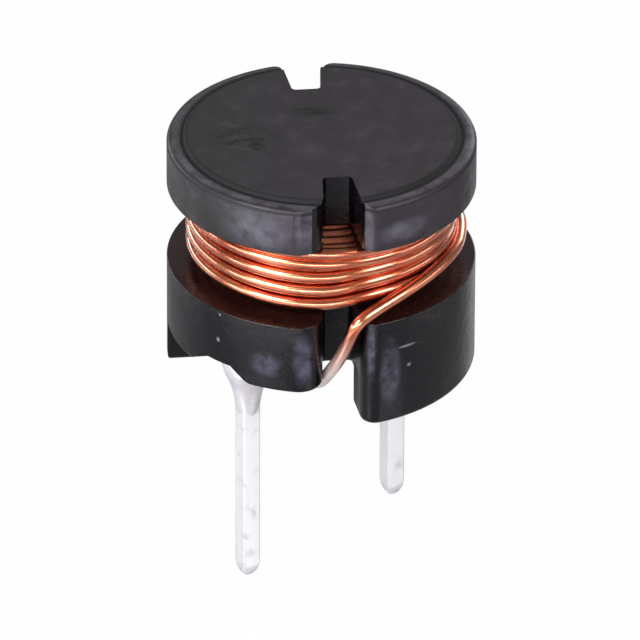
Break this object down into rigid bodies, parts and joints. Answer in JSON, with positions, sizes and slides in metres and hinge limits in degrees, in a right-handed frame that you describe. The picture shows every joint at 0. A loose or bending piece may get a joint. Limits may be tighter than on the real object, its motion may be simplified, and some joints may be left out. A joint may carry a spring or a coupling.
{
  "type": "radial power inductor",
  "caption": "Drum-core wire-wound power inductor with a notched round top flange, footed base and two square through-hole pins.",
  "frame": {"origin": "centre of the seating plane under the feet, midway between the two pins", "axes": "+Z along the core's axis, from the circuit board up to the top flange; the two pins stand on the X axis"},
  "size_m": [0.0072, 0.0072, 0.0108],
  "materials": {
    "ferrite": "sintered ferrite, matt, with a thin varnish on the base",
    "enamelled_copper": "drawn copper wire under clear enamel",
    "tinned_pin": "bright tin plate",
    "solder": "bright solder"
  },
  "bodies": {
    "root": {"drum_core": "ferrite", "winding": "enamelled_copper", "start_pin": "tinned_pin", "finish_pin": "tinned_pin", "start_solder": "solder", "finish_solder": "solder"}
  },
  "joints": []
}
